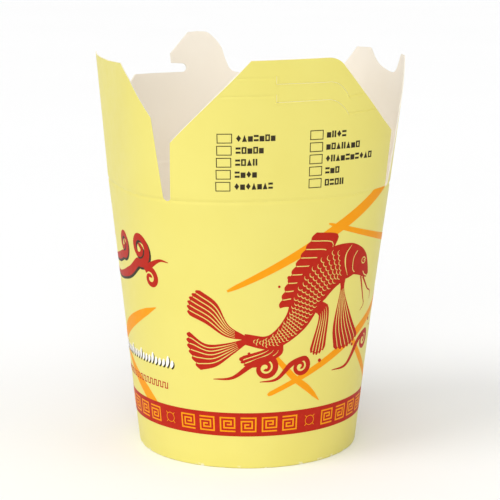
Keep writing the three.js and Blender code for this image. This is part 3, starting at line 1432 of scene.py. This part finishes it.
@dataclass(frozen=True)
class Stroke:
    """A broad brush stroke: angles from the front and heights that it passes, and its width along it."""

    path: tuple[tuple[float, float], ...]
    widths: Widths

    def outline(self) -> Loop:
        """The stroke's outline on the sheet."""
        flat = [(math.radians(angle) * FORM.mean_radius(height), height) for angle, height in self.path]
        return FORM.drawn(ribbon(flowing(flat, 20), self.widths))


@dataclass
class Strokes:
    """The orange strokes of one side of the box, cut off at the foot band and at the crease."""

    low: float = 22.72
    top: float = 104.96
    strokes: tuple[Stroke, ...] = (
        Stroke(((52, 109), (22.8, 94), (-1, 82.4), (-27, 71)),
               ((0, 4.4), (0.4, 4.2), (0.85, 2.6), (0.96, 1.8), (1, 0.9))),
        Stroke(((16.4, 95.1), (32, 90.6), (48.5, 86.5), (62, 83.9), (71, 82.9)),
               ((0, 0.5), (0.03, 1.1), (0.16, 1.9), (0.8, 2.9), (0.93, 2.4), (1, 0.4))),
        Stroke(((-9.2, 29.8), (17.1, 40), (41, 50.2), (57.3, 57.4), (71, 64.8)),
               ((0, 0.9), (0.015, 1.8), (0.43, 3), (0.63, 3.7), (0.74, 3.6), (0.83, 3.2), (0.93, 2.1),
                (1, 0.3))),
        Stroke(((-7.6, 46.6), (-1.5, 40.5), (4, 35.5), (10.6, 31.1), (17.6, 25.4)),
               ((0, 1.3), (0.09, 1.8), (0.35, 2.4), (0.7, 2.6), (0.86, 1.9), (1, 0.3))),
        Stroke(((31.4, 54), (37.6, 46.5), (49, 36.4), (62.1, 27.6), (73, 20.8)),
               ((0, 0.3), (0.05, 0.8), (0.19, 2.1), (0.45, 2.8), (0.65, 2.7), (1, 1.6))),
        Stroke(((-61.8, 61.6), (-76, 56.1), (-92, 49.2), (-108, 40.4)),
               ((0, 0.3), (0.15, 2.9), (0.3, 4.2), (0.45, 5), (0.6, 5.4), (0.76, 5), (0.91, 3.4), (1, 0.6))),
        Stroke(((-107.5, 42.6), (-98.1, 38.6), (-87.7, 32), (-76.8, 25.8), (-68.5, 20.2)),
               ((0, 0.4), (0.23, 1.9), (0.5, 3.6), (0.65, 4.4), (0.78, 4.8), (0.91, 4.8), (1, 4.2))),
    )

    def drawing(self) -> Drawing:
        """Draws the strokes on the sheet."""
        drawn = Drawing().lay(Ink.ORANGE, *(stroke.outline() for stroke in self.strokes))
        return drawn.placed(lambda loop: np.clip(loop, (-np.inf, self.low), (np.inf, self.top)))


@dataclass
class FishPicture:
    """A leaping carp, in red with its lines left open, drawn about its own middle."""

    line: float = 0.42
    spine: tuple[tuple[float, float], ...] = (
        (33, 9), (24, 16.5), (12, 16), (1.5, 7), (-5, -5.5), (-15, -13.5), (-26.5, -12))
    girth: Widths = ((0, 2.2), (0.03, 5), (0.1, 10), (0.2, 14.6), (0.33, 17), (0.48, 16), (0.62, 12.4),
                     (0.76, 8.4), (0.9, 5.2), (1, 4.4))
    rim_bulge: float = 2.2
    rim_steps: int = 6
    ray_reach: float = 2.0
    ray_start: float = 0.2
    scaled: Range = (0.27, 0.95)
    scale_share: float = 0.27
    least_scale: float = 1.35
    scale_step: float = 0.98 / 80.0
    scale_radius: float = 0.56
    scale_room: float = 0.75
    scale_arc: Range = (100.0, 260.0)
    edge_clear: Range = (0.5, 0.3)
    ahead: float = 0.01

    def __post_init__(self) -> None:
        """Works out the spine."""
        self._spine = flowing(self.spine, 14)
        self._shares, self._left = shares(self._spine), normals(self._spine)

    def _at(self, share: float, aside: float) -> np.ndarray:
        """The point at a share of the spine's length and a distance towards the back."""
        spot, left = (spread(values, self._shares, share) for values in (self._spine, self._left))
        return spot - left * aside

    def drawing(self) -> Drawing:
        """Draws the fish: fins, body and open lines, in that order."""
        body = Drawing().lay(Ink.RED, ribbon(self._spine, self.girth))
        return Drawing().add(*self._fins(), body, self._scales(), self._head())

    def _fin(self, leading: Sequence[Point], trailing: Sequence[Point], rays: int,
             scallop: float = 1.2) -> Drawing:
        """A fin between two flowing edges, with open rays and a scalloped rim.

        Args:
            leading: Points of one edge, root first.
            trailing: Points of the other.
            rays: How many rays it has.
            scallop: How far its rim stands out between rays.

        Returns:
            The fin.
        """
        edges = [flowing(edge, 6) for edge in (leading, trailing)]
        count = max(map(len, edges))
        first, last = (spread(edge, shares(edge), np.linspace(0, 1, count)) for edge in edges)
        out = (first[-1] - first[-3]) + (last[-1] - last[-3])
        out /= np.linalg.norm(out)
        rim = []
        for v in np.linspace(0, 1, self.rim_steps * rays + 1):
            bulge = math.sin(math.pi * v) * self.rim_bulge + abs(math.sin(math.pi * v * rays)) * scallop
            rim.append(first[-1] * (1 - v) + last[-1] * v + out * bulge)
        made = Drawing().lay(Ink.RED, np.vstack([first, rim[1:-1], last[::-1]]))
        for v in np.arange(1, rays) / rays:
            ray = first * (1 - v) + last * v
            tip = ray[-1] + out * math.sin(math.pi * v) * self.ray_reach
            ray = np.vstack([ray[int(count * self.ray_start):], tip])
            made.lay(Ink.BARE, ribbon(ray, [(0, 0.15), (0.3, self.line), (1, self.line)]))
        return made

    def _fins(self) -> list[Drawing]:
        """Draws both halves of the tail, then the back, breast, belly and rear fins.

        Returns:
            The fins.
        """
        at = self._at
        fins = [
            ([at(1, 1.6), (-33, -6), (-38, 3), (-45, 8)], [at(0.99, -0.3), (-34, -11), (-42, -6), (-49, -3)],
             6),
            ([at(0.99, 0.3), (-34, -14), (-42, -14.5), (-49, -10)],
             [at(0.98, -1.9), (-31, -19), (-37, -24), (-43.5, -26)], 6),
            ([at(0.3, 7), at(0.27, 12.5), at(0.33, 17.5)], [at(0.62, 5), at(0.63, 7.4), at(0.67, 9.4)],
             9, 0.9),
            ([at(0.23, -6.5), at(0.25, -13), (24, -8), (29, -15.5)],
             [at(0.32, -7), at(0.34, -11), (13, -10), (14, -19)], 7),
            ([at(0.52, -7), at(0.55, -12), (9.5, -17.5)], [at(0.6, -6), at(0.62, -9), (2, -18)], 5),
            ([at(0.8, -3.3), at(0.83, -7), at(0.9, -10.5)], [at(0.87, -2.5), at(0.91, -4), at(0.98, -7)], 4),
        ]
        return [self._fin(*fin) for fin in fins]

    def _scales(self) -> Drawing:
        """Rows of open arcs along the body.

        Returns:
            The scales, every second row half a scale aside.
        """
        made = Drawing()
        share, last = self.scaled
        odd = 0.0
        while share < last:
            half = float(np.interp(share, *zip(*self.girth))) / 2
            size = max(self.least_scale, half * self.scale_share)
            count = int((half - self.edge_clear[0]) / size)
            for k in np.arange(-count, count + 1) + odd:
                aside = k * size
                if abs(aside) + size * self.scale_room > half - self.edge_clear[1]:
                    continue
                x, y = self._at(share - self.ahead, aside) - self._at(share + self.ahead, aside)
                start, stop = (math.degrees(math.atan2(y, x)) + turn for turn in self.scale_arc)
                arc = bow(self._at(share, aside), size * self.scale_radius, start, stop, 7)
                made.lay(Ink.BARE, ribbon(arc, [(0, 0.12), (0.5, self.line), (1, 0.12)]))
            share += size * self.scale_step
            odd = 0.5 - odd
        return made

    def _head(self) -> Drawing:
        """Gill cover, cheek, eye, mouth and barbels.

        Returns:
            The head's lines.
        """
        at = self._at
        gill = flowing([at(0.205, 6.6), at(0.235, 3), at(0.24, -1.5), at(0.215, -6.2)], 6)
        cheek = flowing([at(0.165, 4.2), at(0.18, 1), at(0.17, -3.4), at(0.13, -4.6)], 6)
        mouth = flowing([at(0.0, -0.4), at(0.03, -1.2), at(0.055, -1.0)], 5)
        made = Drawing()
        made.lay(Ink.BARE, ribbon(gill, [(0, 0.2), (0.5, 0.75), (1, 0.2)]), ribbon(cheek, self.line))
        made.lay(Ink.BARE, disc(at(0.1, 2.2), 1.5))
        made.lay(Ink.RED, disc(at(0.1, 2.2), 1.05))
        made.lay(Ink.BARE, disc(at(0.095, 2.5), 0.38, 10), ribbon(mouth, 0.5))
        for barbel in ([at(0.03, -2.4), (34.5, 3), (38, 1), (38.5, -2.5)],
                       [at(0.05, -3.2), (31, 0.5), (32.5, -3.5), (30, -6)]):
            made.lay(Ink.RED, ribbon(flowing(barbel, 6), [(0, 1.0), (0.6, 0.6), (1, 0.2)]))
        return made


@dataclass(frozen=True)
class Curl:
    """A spiral band that runs out into a tail.

    The tail's points come first, then the spiral's middle and outer radius, how often it goes round, the
    angle in degrees at which the tail meets it, the band's broadest width, and 1 for a spiral that runs
    anticlockwise inwards or -1 for the other way.
    """

    tail: tuple[tuple[float, float], ...]
    middle: tuple[float, float]
    size: float
    turns: float
    start: float
    width: float
    way: int = 1
    tightness: float = 0.86
    steps: int = 26

    def outline(self) -> Loop:
        """The band's outline.

        Returns:
            Its points.
        """
        t = np.linspace(0, 1, int(self.steps * self.turns) + 1)
        angle = math.radians(self.start) + self.way * t * self.turns * 2 * math.pi
        radius = self.size * (1 - self.tightness * t)
        spiral = np.array(self.middle) + radius[:, None] * spokes(angle)
        tail = flowing([*self.tail, spiral[0], spiral[3]], 10)[:-11]
        widths = ((0, 0.3), (0.35, self.width), (0.7, self.width * 0.85), (1, self.width * 0.45))
        return ribbon(np.vstack([tail, spiral]), widths)


@dataclass
class Waves:
    """Three curling crests and some drops."""

    crests: tuple[Curl, ...] = (
        Curl(((-38, -29.5), (-30, -28.5), (-22, -22.5)), (-17, -24.5), 4.6, 1.5, 60.0, 2.6, -1),
        Curl(((-19, -30.5), (-12, -29.5), (-6, -23.5)), (-2, -25), 3.9, 1.4, 60.0, 2.3, -1),
        Curl(((14, -29), (23, -28), (31, -19)), (36, -20), 4.2, 1.4, 60.0, 2.4, -1),
    )
    drops: tuple[tuple[float, float, float], ...] = (
        (-27, -20.5, 0.9), (-24, -18.2, 0.6), (7, -23.5, 0.8), (26, -20, 0.7), (41, -12, 0.8),
        (43.5, -15, 0.5), (-9, 13, 0.8), (-13, 9.5, 0.55))

    def drawing(self) -> Drawing:
        """Draws the crests, then the drops."""
        crests = (crest.outline() for crest in self.crests)
        return Drawing().lay(Ink.RED, *crests, *(disc((x, y), radius, 12) for x, y, radius in self.drops))


@dataclass
class CloudScroll:
    """A cloud scroll, its two large curls with a dark shadow beside them."""

    curls: tuple[Curl, ...] = (
        Curl(((-26, -9), (-12, -9.5), (2, -6)), (13, 5), 6.2, 1.6, 250.0, 3.6),
        Curl(((-30, -3), (-22, -3.8), (-12, -2.5)), (-3, 4.5), 5.2, 1.5, 250.0, 3.1),
        Curl(((29, 1.5), (25, 1.8), (20, -0.5)), (18.5, -6), 4.2, 1.3, 140.0, 2.8, -1),
    )
    shadow: tuple[float, float] = (0.85, -0.85)

    def drawing(self) -> Drawing:
        """Draws the shadows, then the curls."""
        bands = [curl.outline() for curl in self.curls]
        return Drawing().lay(Ink.DARK, *(band + self.shadow for band in bands[:2])).lay(Ink.RED, *bands)


@dataclass
class RiceRow:
    """A row of white rice grains with dark shadows; every fourth grain is tall."""

    count: int = 20
    first: float = -87.2
    foot: float = 38.3
    pitch: float = 2.16
    height: float = 3.1
    tall: float = 4.6
    bend: tuple[float, float, float] = (-0.35, 0.1, 0.2)
    widths: Widths = ((0, 0.4), (0.25, 1.3), (0.5, 1.55), (0.8, 1.15), (1, 0.4))
    shadow: tuple[float, float] = (0.55, -0.5)

    def drawing(self) -> Drawing:
        """Draws the grains.

        Returns:
            The row, in millimetres from the front's middle and above the table.
        """
        made = Drawing()
        for i in range(self.count):
            height = self.tall if i % 4 == 2 else self.height
            x = self.first + i * self.pitch
            spine = [(x + aside, self.foot + height * k / 2) for k, aside in enumerate(self.bend)]
            grain = ribbon(flowing(spine, 5), self.widths)
            made.lay(Ink.DARK, grain + self.shadow).lay(Ink.WHITE, grain)
        return made


@dataclass
class Meander:
    """A thin red line that steps up and down."""

    steps: int = 29
    first: float = -86.0
    heights: Range = (29.5, 31.7)
    pitch: float = 1.3
    line: float = 0.42

    def drawing(self) -> Drawing:
        """Draws the line.

        Returns:
            The line, in millimetres from the front's middle and above the table.
        """
        path = [(self.first, self.heights[0])]
        for i in range(self.steps):
            x = self.first + (i + 1) * self.pitch
            path += [(x, path[-1][1]), (x, self.heights[(i + 1) % 2])]
        return Drawing().lay(Ink.RED, *bars(path, self.line))


@dataclass
class WallPrint:
    """The print of the cup's wall: the same on the front and on the back."""

    shop: PrintShop
    picture_angle: float = 8.5
    picture_height: float = 63.5
    picture_scale: float = 0.93
    emblem_angle: float = -84.0
    emblem_height: float = 79.0

    def print(self) -> list[Piece]:
        """Prints strokes, pictures and side ornaments on both sides.

        Returns:
            The films.
        """
        picture = FishPicture().drawing().add(Waves().drawing())
        sheet = Strokes().drawing().add(
            picture.placed(lambda loop: FORM.drawn(loop * self.picture_scale, self.picture_angle,
                                                   self.picture_height)),
            CloudScroll().drawing().placed(
                lambda loop: FORM.drawn(loop, self.emblem_angle, self.emblem_height)),
            RiceRow().drawing().add(Meander().drawing()).placed(FORM.drawn))
        films = []
        for name, turn in (("front", 0.0), ("back", 180.0)):
            shift = (FORM.along(turn), 0)
            films += self.shop.lay(f"{name}_print", sheet.placed(lambda loop, s=shift: loop + s))
        return films


class Mark(Enum):
    """Plain marks that stand beside the tick boxes."""

    FRAME = "hollow oblong"
    DOUBLE = "two level bars"
    POSTS = "two upright bars"
    DIAMOND = "diamond"
    PEAK = "triangle"
    BLOCK = "block"


@dataclass
class MarkType:
    """Draws the plain marks, each from its lower left corner."""

    width: float = 1.75
    height: float = 2.5
    frame: float = 0.55
    bar: Range = (0.1, 0.85)
    post: Range = (0.05, 0.7)
    block: float = 2.0

    def drawing(self, kind: Mark) -> Drawing:
        """Draws one mark.

        Args:
            kind: Which mark.

        Returns:
            The mark.
        """
        w, h, line = self.width, self.height, self.frame
        (low, high), (left, right) = self.bar, self.post
        shapes = {
            Mark.FRAME: [oblong(0, 0, w, h)],
            Mark.DOUBLE: [oblong(0, low, w, high), oblong(0, h - high, w, h - low)],
            Mark.POSTS: [oblong(left, 0, right, h), oblong(w - right, 0, w - left, h)],
            Mark.DIAMOND: [[(w / 2, 0), (w, h / 2), (w / 2, h), (0, h / 2)]],
            Mark.PEAK: [[(0, 0), (w, 0), (w / 2, h)]],
            Mark.BLOCK: [oblong(0, 0, w, self.block)],
        }
        made = Drawing().lay(Ink.DARK, *shapes[kind])
        return made.lay(Ink.BARE, oblong(line, line, w - line, h - line)) if kind is Mark.FRAME else made


@dataclass
class TickList:
    """Tick boxes on the front flap, in two columns of five, with a row of plain marks beside each."""

    shop: PrintShop
    flap: Flap
    columns: tuple[float, float] = (-29.25, 6.15)
    slants: tuple[float, float] = (0.19, 0.02)
    low: float = 4.2
    pitches: tuple[float, float] = (4.44, 4.49)
    box: tuple[float, float] = (5.3, 3.55)
    line: float = 0.3
    gap: float = 1.4
    mark_pitch: float = 2.1
    seed: int = 11
    lengths: tuple[tuple[float, ...], ...] = ((14.2, 8.6, 9.4, 10.2, 14.8), (8.4, 7.0, 20.4, 15.4, 7.6))

    def print(self) -> list[Piece]:
        """Prints the boxes and the marks.

        Returns:
            The films, which bend with the flap.
        """
        films = []
        for i, (left, slant, pitch) in enumerate(zip(self.columns, self.slants, self.pitches)):
            tick = Drawing().lay(Ink.DARK, *self._frame(left, self.low)).placed(self.flap.placed)
            repeat = Repeat(len(self.lengths[i]), (slant, pitch))
            films += self.shop.lay(f"tick_boxes_{i + 1}", tick, 1, self.flap.lean, [repeat])
        films += self.shop.lay("tick_marks", self._marks().placed(self.flap.placed), 1, self.flap.lean)
        return [self.flap.folding(film) for film in films]

    def _frame(self, x: float, y: float) -> list[Loop]:
        """Four bars that make a box.

        Args:
            x: Place of its left side.
            y: Height of its foot.

        Returns:
            The bars.
        """
        line, right, top = self.line, x + self.box[0], y + self.box[1]
        return [oblong(x, y, right, y + line), oblong(x, top - line, right, top),
                oblong(x, y + line, x + line, top - line), oblong(right - line, y + line, right, top - line)]

    def _marks(self) -> Drawing:
        """Rows of small plain marks, in the middle of the boxes' height.

        Returns:
            The marks, none like the one before it.
        """
        chance, types = random.Random(self.seed), MarkType()
        made = Drawing()
        for column, slant, pitch, lengths in zip(self.columns, self.slants, self.pitches, self.lengths):
            for row, length in enumerate(lengths):
                x = column + self.box[0] + self.gap + row * slant
                low = self.low + row * pitch + (self.box[1] - types.height) / 2
                last = None
                for i in range(round(length / self.mark_pitch)):
                    last = chance.choice([kind for kind in Mark if kind is not last])
                    spot = (x + i * self.mark_pitch, low)
                    made.add(types.drawing(last).placed(lambda loop, at=spot: loop + at))
        return made


# ---- scene --------------------------------------------------------------------------------------


def direction(azimuth: float, height: float) -> Vector:
    """The direction that an angle round from the front and an angle up give, both in degrees."""
    a, h = math.radians(azimuth), math.radians(height)
    return Vector((math.sin(a) * math.cos(h), -math.cos(a) * math.cos(h), math.sin(h)))


@dataclass(frozen=True)
class SoftLight:
    """A broad far lamp: its direction from the box, its strength and how wide it looks, in degrees."""

    name: str
    azimuth: float
    height: float
    strength: float
    width: float

    def build(self) -> None:
        """Builds the lamp."""
        data = bpy.data.lights.new(self.name, "SUN")
        data.energy = self.strength
        data.angle = math.radians(self.width)
        turned = direction(self.azimuth, self.height).to_track_quat("Z", "Y").to_euler()
        shown(self.name, data).rotation_euler = turned


@dataclass
class Studio:
    """Pale floor, soft lights and the camera. The camera's place and the floor's half are in metres."""

    lens: float = 128.97
    sensor: float = 36.0
    clip: Range = (0.01, 50.0)
    camera_place: tuple[float, float, float] = (-0.2224, -0.66085, 0.21736)
    camera_azimuth: float = -18.686
    camera_height: float = 11.43
    floor_half: float = 6.0
    floor_drop: float = 0.02
    room: float = 0.29
    lights: tuple[SoftLight, ...] = (
        SoftLight("overhead", 0.0, 90.0, 1.28, 95.0), SoftLight("left", -78.6, 48.0, 0.85, 31.0),
        SoftLight("left_low", -48.6, 10.0, 0.41, 19.0), SoftLight("front", -18.6, 20.0, 0.61, 31.0),
        SoftLight("front_high", -18.6, 48.0, 0.25, 31.0), SoftLight("right", 41.4, 48.0, 0.14, 31.0))

    def build(self) -> None:
        """Builds the floor, the camera, the bright room and the lamps."""
        self._floor()
        self._camera()
        self._room()
        for light in self.lights:
            light.build()

    def _floor(self) -> None:
        """A wide floor on which the box stands."""
        half = self.floor_half
        corners = [(x, y, 0) for x, y in oblong(-half, -half, half, half)]
        mesh = bpy.data.meshes.new("floor")
        mesh.from_pydata(corners, [], [(0, 1, 2, 3)])
        mesh.materials.append(FloorFinish().material())
        floor = shown("floor", mesh)
        floor.location.z = -self.floor_drop * MM

    def _camera(self) -> None:
        """The camera at the height of a seated eye."""
        data = bpy.data.cameras.new("camera")
        data.lens = self.lens
        data.sensor_width = self.sensor
        data.clip_start, data.clip_end = self.clip
        camera = shown("camera", data)
        camera.location = self.camera_place
        behind = direction(self.camera_azimuth, self.camera_height)
        camera.rotation_euler = behind.to_track_quat("Z", "Y").to_euler()
        bpy.context.scene.camera = camera

    def _room(self) -> None:
        """The white room round the box."""
        world = bpy.data.worlds.new("room")
        world.use_nodes = True
        background = world.node_tree.nodes["Background"].inputs
        background["Color"].default_value = (1, 1, 1, 1)
        background["Strength"].default_value = self.room
        bpy.context.scene.world = world
        bpy.context.scene.view_settings.view_transform = "Standard"


def main() -> None:
    """Builds the studio and the box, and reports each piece."""
    logging.basicConfig(level=logging.INFO)
    Studio().build()
    palette, roller = Palette(), Roller()
    shop = PrintShop(palette, roller)
    front = FrontFlap(palette, roller)
    pieces = [CupWall(palette, roller).board(), CupBase(palette).board()]
    for flap in (front, RightFlap(palette, roller), BackFlap(palette, roller), LeftFlap(palette, roller)):
        pieces.append(flap.board())
    pieces += [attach(film, CUP) for film in [*FootBand(shop).print(), *WallPrint(shop).print()]]
    pieces += TickList(shop, front).print()
    for piece in pieces:
        LOG.info("%s: %d faces", piece.name, len(piece.data.polygons))


if __name__ == "__main__":
    main()
